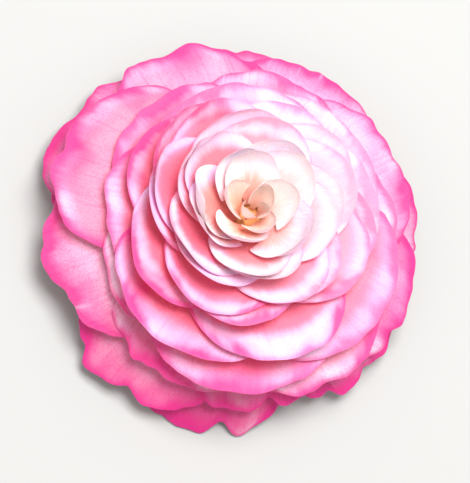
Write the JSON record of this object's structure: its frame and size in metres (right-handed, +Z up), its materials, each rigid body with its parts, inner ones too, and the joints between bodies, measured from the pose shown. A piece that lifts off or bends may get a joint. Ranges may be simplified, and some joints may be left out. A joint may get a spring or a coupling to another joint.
{
  "type": "camellia flower",
  "caption": "Picked formal-double camellia bloom lying face up: white heart opening through blush to rose-pink petals with magenta rims, green bud scales and a short cut stalk beneath",
  "frame": {"origin": "On the surface the bloom rests on, under the middle of its outline", "axes": "+Z up out of the face of the bloom, along the stalk; +X and +Y lie in the surface it rests on, and the bloom is seen tilted towards -Y"},
  "size_m": [0.1006, 0.1016, 0.036],
  "materials": {
    "guard_petal": "matte",
    "outer_petal": "matte",
    "middle_petal": "matte",
    "inner_petal": "matte",
    "heart_petal": "matte",
    "bud_scale": "matte",
    "stalk": "matte"
  },
  "bodies": {
    "root": {"guard_petal_1": "guard_petal", "guard_petal_2": "guard_petal", "guard_petal_3": "guard_petal", "guard_petal_4": "guard_petal", "guard_petal_5": "guard_petal", "guard_petal_6": "guard_petal", "guard_petal_7": "guard_petal", "guard_petal_8": "guard_petal", "guard_petal_9": "guard_petal", "guard_petal_10": "guard_petal", "outer_petal_1": "outer_petal", "outer_petal_2": "outer_petal", "outer_petal_3": "outer_petal", "outer_petal_4": "outer_petal", "outer_petal_5": "outer_petal", "outer_petal_6": "outer_petal", "outer_petal_7": "outer_petal", "outer_petal_8": "outer_petal", "outer_petal_9": "outer_petal", "outer_petal_10": "outer_petal", "outer_petal_11": "outer_petal", "middle_petal_1": "middle_petal", "middle_petal_2": "middle_petal", "middle_petal_3": "middle_petal", "middle_petal_4": "middle_petal", "middle_petal_5": "middle_petal", "middle_petal_6": "middle_petal", "middle_petal_7": "middle_petal", "middle_petal_8": "middle_petal", "middle_petal_9": "middle_petal", "middle_petal_10": "middle_petal", "middle_petal_11": "middle_petal", "inner_petal_1": "inner_petal", "inner_petal_2": "inner_petal", "inner_petal_3": "inner_petal", "inner_petal_4": "inner_petal", "inner_petal_5": "inner_petal", "inner_petal_6": "inner_petal", "inner_petal_7": "inner_petal", "inner_petal_8": "inner_petal", "inner_petal_9": "inner_petal", "inner_petal_10": "inner_petal", "inner_petal_11": "inner_petal", "heart_petal_1": "heart_petal", "heart_petal_2": "heart_petal", "heart_petal_3": "heart_petal", "heart_petal_4": "heart_petal", "heart_petal_5": "heart_petal", "heart_petal_6": "heart_petal", "heart_petal_7": "heart_petal", "heart_petal_8": "heart_petal", "heart_petal_9": "heart_petal", "heart_petal_10": "heart_petal", "heart_petal_11": "heart_petal", "bud_scale_1": "bud_scale", "bud_scale_2": "bud_scale", "bud_scale_3": "bud_scale", "bud_scale_4": "bud_scale", "bud_scale_5": "bud_scale", "receptacle_and_stalk": "stalk"}
  },
  "joints": []
}
